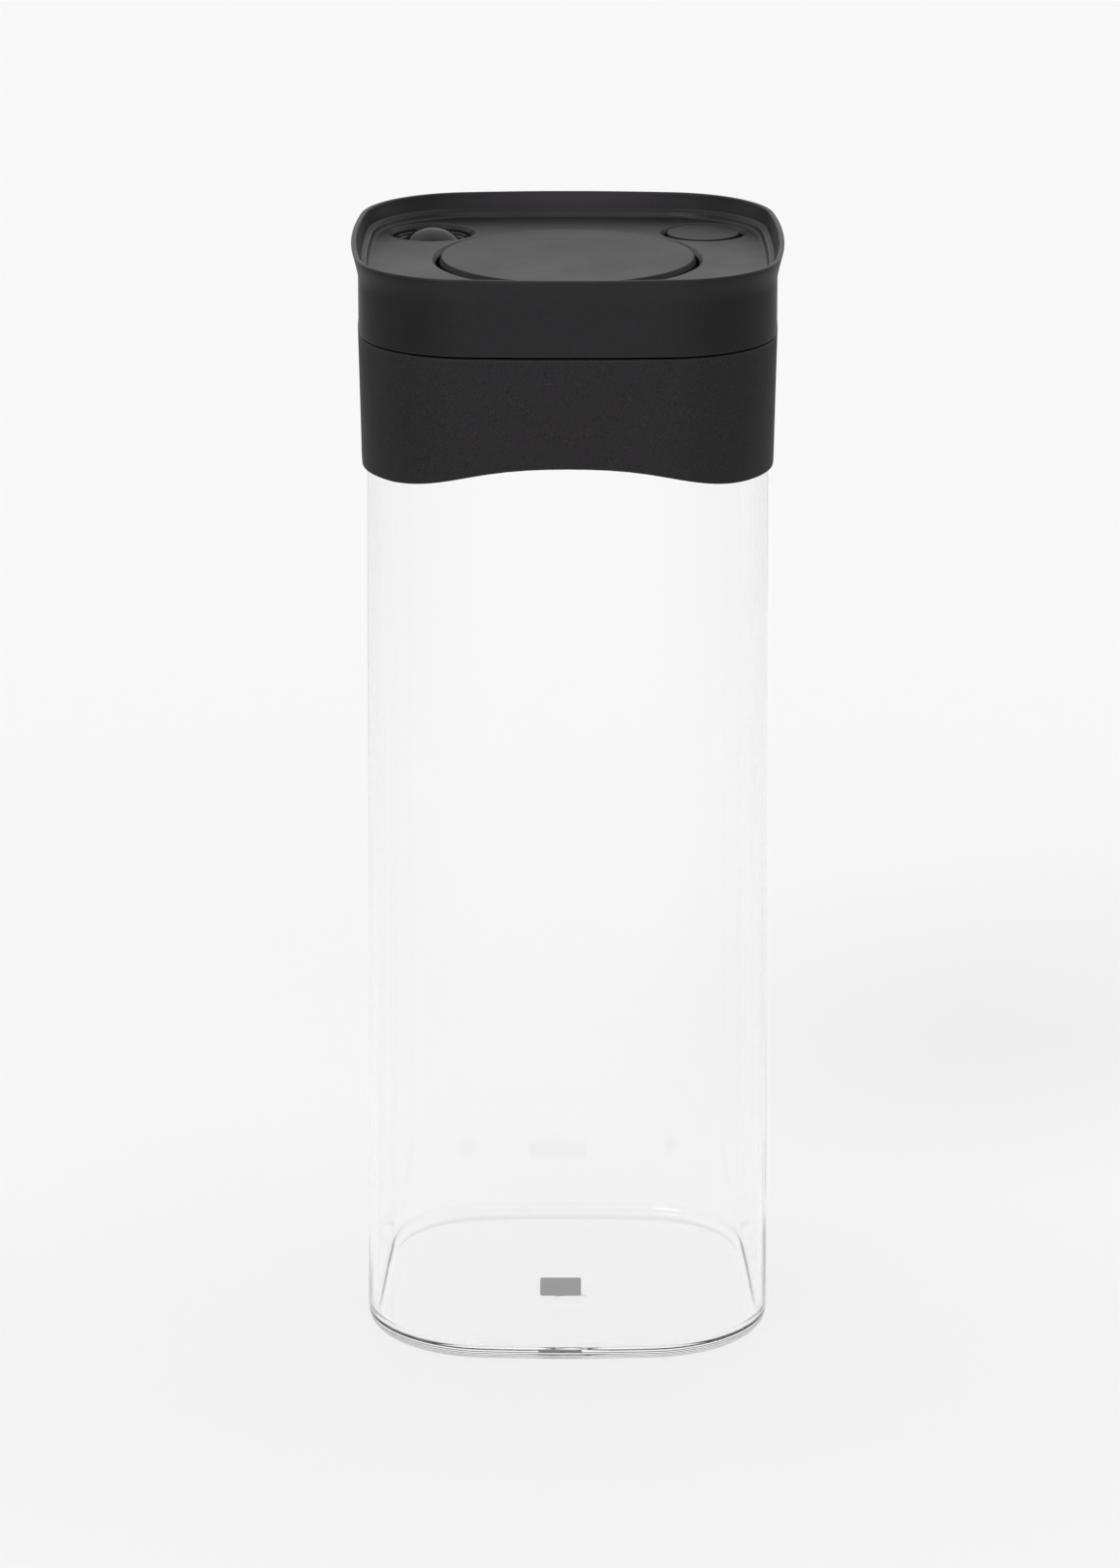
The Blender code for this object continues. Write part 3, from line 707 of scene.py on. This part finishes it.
def pump_button():
    """The large disc, with the soft shoulder round its top and the catch flange below."""
    flange = PUMP_TUBE[1] - GAP
    boss_low = 264.3
    profile = rounded(
        [
            (1.3, boss_low, 0.0),
            (5.0, boss_low, 0.3),
            (5.0, 279.2, 0.6),
            (BUTTON_R - 1.9, 279.2, 0.8),
            (BUTTON_R - 1.6, BUTTON_LOW, 0.2),
            (flange, BUTTON_LOW, 0.3),
            (flange, PUMP_TUBE_LOW - GAP, 0.3),
            (BUTTON_R, PUMP_TUBE_LOW - GAP, 0.3),
            (BUTTON_R, BUTTON_TOP - 1.35, 0.5),
            (BUTTON_R - 0.55, BUTTON_TOP, 0.32),
            (1.0, BUTTON_TOP, 0.0),
        ]
    )
    piece = mesh_object("pump_disc", turned(profile[:-1], ROUND_STEPS, False))
    combine(piece, [rod_tool(1.3, boss_low - 1.0, 272.0, 24)], "DIFFERENCE")
    weighted_normals(piece)
    return finish_piece(piece, "pump", ["pump_button"], button_plastic("pump_disc_satin"))


def release_button():
    """The small flat cap in the right-hand hole."""
    profile = rounded(
        [
            (3.2, 278.6, 0.0),
            (RELEASE_R - 1.4, 278.6, 0.4),
            (RELEASE_R - 1.3, 274.8, 0.2),
            (RELEASE_R, 274.8, 0.2),
            (RELEASE_R, DECK_TOP, 0.32),
            (1.0, DECK_TOP, 0.0),
        ]
    )
    piece = mesh_object("release_cap", turned(profile[:-1], SMALL_ROUND_STEPS, False, SMALL_X, SMALL_Y))
    weighted_normals(piece)
    material = button_plastic("release_cap_satin")
    return finish_piece(piece, "release", ["release_button"], material)


def indicator_dome():
    """The glossy soft dome: a thin cap over the stem's head."""
    low, radius, centre, thick = 278.1, 10.0, 272.3, 1.2
    steps = 16
    outer, inner = [], []
    for step in range(steps + 1):
        share = step / steps
        start = math.asin((low - centre) / radius)
        reach = start + (math.radians(89) - start) * share
        outer.append((radius * math.cos(reach), centre + radius * math.sin(reach)))
        inner.append(((radius - thick) * math.cos(reach), centre + (radius - thick) * math.sin(reach)))
    profile = [*reversed(inner), *outer]
    piece = mesh_object("dome_cap", turned(profile, SMALL_ROUND_STEPS, False, -SMALL_X, SMALL_Y))
    material = gloss_rubber("dome_gloss", (0.008, 0.008, 0.0085), (0.05, 0.13))
    return finish_piece(piece, "indicator", ["indicator_dome"], material)


# ---------------------------------------------------------------- the pieces inside


def dress_inner_nodes():
    """Gives the frame's own inner pieces their materials."""
    base = moulded_plastic("base_satin", (0.008, 0.008, 0.0085), (0.014, 0.014, 0.0145), (0.42, 0.55), 0.35, 0.015)
    seal = matte_rubber("seal_grey", (0.3, 0.3, 0.3))
    gasket = matte_rubber("gasket_grey", (0.35, 0.35, 0.35))
    valve = matte_rubber("valve_grey", (0.14, 0.14, 0.14))
    white = acetal("white_acetal")
    screw = drawn_steel("screw_plating")
    looks = {
        "lid_base": base,
        "lid_seal": seal,
        "piston_seal": seal,
        "collar_gasket": gasket,
        "exhaust_valve": valve,
        "inlet_valve": valve,
        "release_valve": valve,
        "pump_piston": white,
        "release_stem": white,
        "indicator_stem": white,
        "inlet_screen": screw,
        "piston_screw": screw,
    }
    looks.update({f"lid_screw_{number}": screw for number in (1, 2, 3, 4)})
    for node, material in looks.items():
        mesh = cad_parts[node].data
        mesh.materials.clear()
        mesh.materials.append(material)


def coil(name, radius, wire, turns, x, y):
    """A spring in place of a frame node."""
    low, high = node_foot(name), node_top(name)
    around, along = 10, 28
    count = turns * along
    loops = []
    for step in range(count + 1):
        angle = 2 * math.pi * step / along
        height = low + wire + (high - low - 2 * wire) * step / count
        loop = []
        for side in range(around):
            turn = 2 * math.pi * side / around
            out = radius + wire * math.cos(turn)
            loop.append((x + out * math.cos(angle), y + out * math.sin(angle), height + wire * math.sin(turn)))
        loops.append(loop)
    piece = mesh_object(f"{name}_coil", loft(loops, False), 60.0)
    finish_piece(piece, "lid", [name], drawn_steel(f"{name}_wire", (12.0, 12.0, 1.0)))
    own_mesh(piece)


def springs():
    coil("pump_spring", 13.0, 0.7, 4, 0.0, 0.0)
    coil("release_spring", 3.1, 0.4, 5, SMALL_X, SMALL_Y)
    coil("indicator_spring", 3.1, 0.3, 4, -SMALL_X, SMALL_Y)


# ---------------------------------------------------------------- stage, light and camera


def stage_floor():
    """A wide pale floor, just under the jar's foot. Seen in reflections, its colour darkens towards the sides:
    painted shade.
    """
    size = 14.0
    built = bmesh.new()
    corners = [built.verts.new((x * size, y * size, -0.0001)) for x, y in ((-1, -1), (1, -1), (1, 1), (-1, 1))]
    built.faces.new(corners)
    mesh = bpy.data.meshes.new("stage_floor")
    built.to_mesh(mesh)
    built.free()
    floor = bpy.data.objects.new("stage_floor", mesh)
    bpy.context.scene.collection.objects.link(floor)
    made = Nodes("stage_paper")
    grain = made.noise(3.0, 2.0)
    paper = FLOOR_ALBEDO
    plain = made.colours(grain, [(0.3, (paper, paper, paper)), (0.7, (paper, paper, paper))])
    # Painted shade: for reflection rays only, the floor's colour darkens away from the middle, down to three
    # tenths of it at the sides.
    split = made.add("ShaderNodeSeparateXYZ")
    made.link(made.coordinates, split.inputs[0])
    aside = made.add("ShaderNodeMath", operation="ABSOLUTE")
    made.link(split.outputs["X"], aside.inputs[0])
    kept = made.spread(aside.outputs[0], 1.0, FLOOR_REFLECTED_SIDE_SHADE, 0.1, 0.8)
    dimmer = made.colours(kept, [(0.0, (0.0, 0.0, 0.0)), (1.0, (paper, paper, paper))])
    seen = made.add("ShaderNodeMix", data_type="RGBA")
    path = made.add("ShaderNodeLightPath")
    made.link(path.outputs["Is Reflection Ray"], seen.inputs["Factor"])
    made.link(plain, seen.inputs["A"])
    made.link(dimmer, seen.inputs["B"])
    made.feed("Base Color", seen.outputs["Result"])
    made.set("Roughness", 1.0)
    made.set("Specular IOR Level", 0.0)
    mesh.materials.append(made.material)


FLOOR_ALBEDO = 0.88
WORLD_LEVEL = 0.93
WORLD_FRONT = 0.3
WORLD_TOP = 1.3
WORLD_SOFTBOX = 1.5
# The share of its colour that the floor keeps at its sides in reflections: painted shade.
FLOOR_REFLECTED_SIDE_SHADE = 0.3
GLASS_FRONT = 0.85
GLASS_BACK = 0.95


def studio_world():
    """A pale studio: level all round at the horizon, dimmer high in front, brighter overhead."""
    world = bpy.data.worlds.new("studio")
    bpy.context.scene.world = world
    world.use_nodes = True
    tree = world.node_tree
    background = tree.nodes["Background"]
    direction = tree.nodes.new("ShaderNodeTexCoord").outputs["Generated"]
    split = tree.nodes.new("ShaderNodeSeparateXYZ")
    tree.links.new(direction, split.inputs[0])

    def ramp(value, from_low, from_high, to_low, to_high):
        node = tree.nodes.new("ShaderNodeMapRange")
        node.interpolation_type = "SMOOTHSTEP"
        node.inputs["From Min"].default_value = from_low
        node.inputs["From Max"].default_value = from_high
        node.inputs["To Min"].default_value = to_low
        node.inputs["To Max"].default_value = to_high
        tree.links.new(value, node.inputs["Value"])
        return node.outputs["Result"]

    def math_node(operation, first, second):
        node = tree.nodes.new("ShaderNodeMath")
        node.operation = operation
        tree.links.new(first, node.inputs[0])
        tree.links.new(second, node.inputs[1])
        return node.outputs[0]

    in_front = ramp(split.outputs["Y"], -0.5, 0.4, 1.0, 0.0)
    raised = ramp(split.outputs["Z"], 0.12, 0.4, 0.0, WORLD_FRONT - WORLD_LEVEL)
    overhead = ramp(split.outputs["Z"], 0.55, 0.95, WORLD_LEVEL, WORLD_TOP)
    dimming = math_node("MULTIPLY", in_front, raised)
    ahead = ramp(split.outputs["Y"], -0.75, -0.55, 1.0, 0.0)
    high = ramp(split.outputs["Z"], 0.3, 0.45, 0.0, WORLD_SOFTBOX)
    softbox = math_node("MULTIPLY", ahead, high)
    total = math_node("ADD", math_node("ADD", overhead, dimming), softbox)
    through_glass = ramp(split.outputs["Y"], -0.6, 0.3, GLASS_FRONT, GLASS_BACK)
    path = tree.nodes.new("ShaderNodeLightPath")
    seen = tree.nodes.new("ShaderNodeMix")
    tree.links.new(path.outputs["Is Transmission Ray"], seen.inputs["Factor"])
    tree.links.new(total, seen.inputs["A"])
    tree.links.new(through_glass, seen.inputs["B"])
    background.inputs["Color"].default_value = (1.0, 1.0, 1.0, 1.0)
    tree.links.new(seen.outputs["Result"], background.inputs["Strength"])


def studio_lights():
    """A soft key from the front left, above."""
    key = bpy.data.lights.new("key_sun", "SUN")
    key.energy = 0.6
    key.angle = math.radians(26)
    key_object = bpy.data.objects.new("key_sun", key)
    key_object.rotation_euler = Vector((-0.15, -0.23, 0.26)).to_track_quat("Z", "Y").to_euler()
    bpy.context.scene.collection.objects.link(key_object)


CAMERA_BACK = 1.595
CAMERA_UP = 0.6284
CAMERA_ASIDE = -0.00196
CAMERA_PITCH = 16.99
CAMERA_LENS = 146.7


def camera():
    made = bpy.data.cameras.new("camera")
    made.lens = CAMERA_LENS
    made.sensor_width = 36.0
    made.clip_start = 0.05
    made.clip_end = 60.0
    placed = bpy.data.objects.new("camera", made)
    placed.location = (CAMERA_ASIDE, -CAMERA_BACK, CAMERA_UP)
    placed.rotation_euler = (math.radians(90 - CAMERA_PITCH), 0.0, 0.0)
    bpy.context.scene.collection.objects.link(placed)
    bpy.context.scene.camera = placed


camera()
stage_floor()
studio_world()
studio_lights()
jar_glass()
base_mark()
collar()
lid()
indicator_ring()
pump_button()
release_button()
indicator_dome()
dress_inner_nodes()
springs()

bpy.context.scene.view_settings.view_transform = "Standard"
bpy.context.scene.cycles.max_bounces = 96
bpy.context.scene.cycles.transmission_bounces = 96
bpy.context.scene.cycles.glossy_bounces = 96
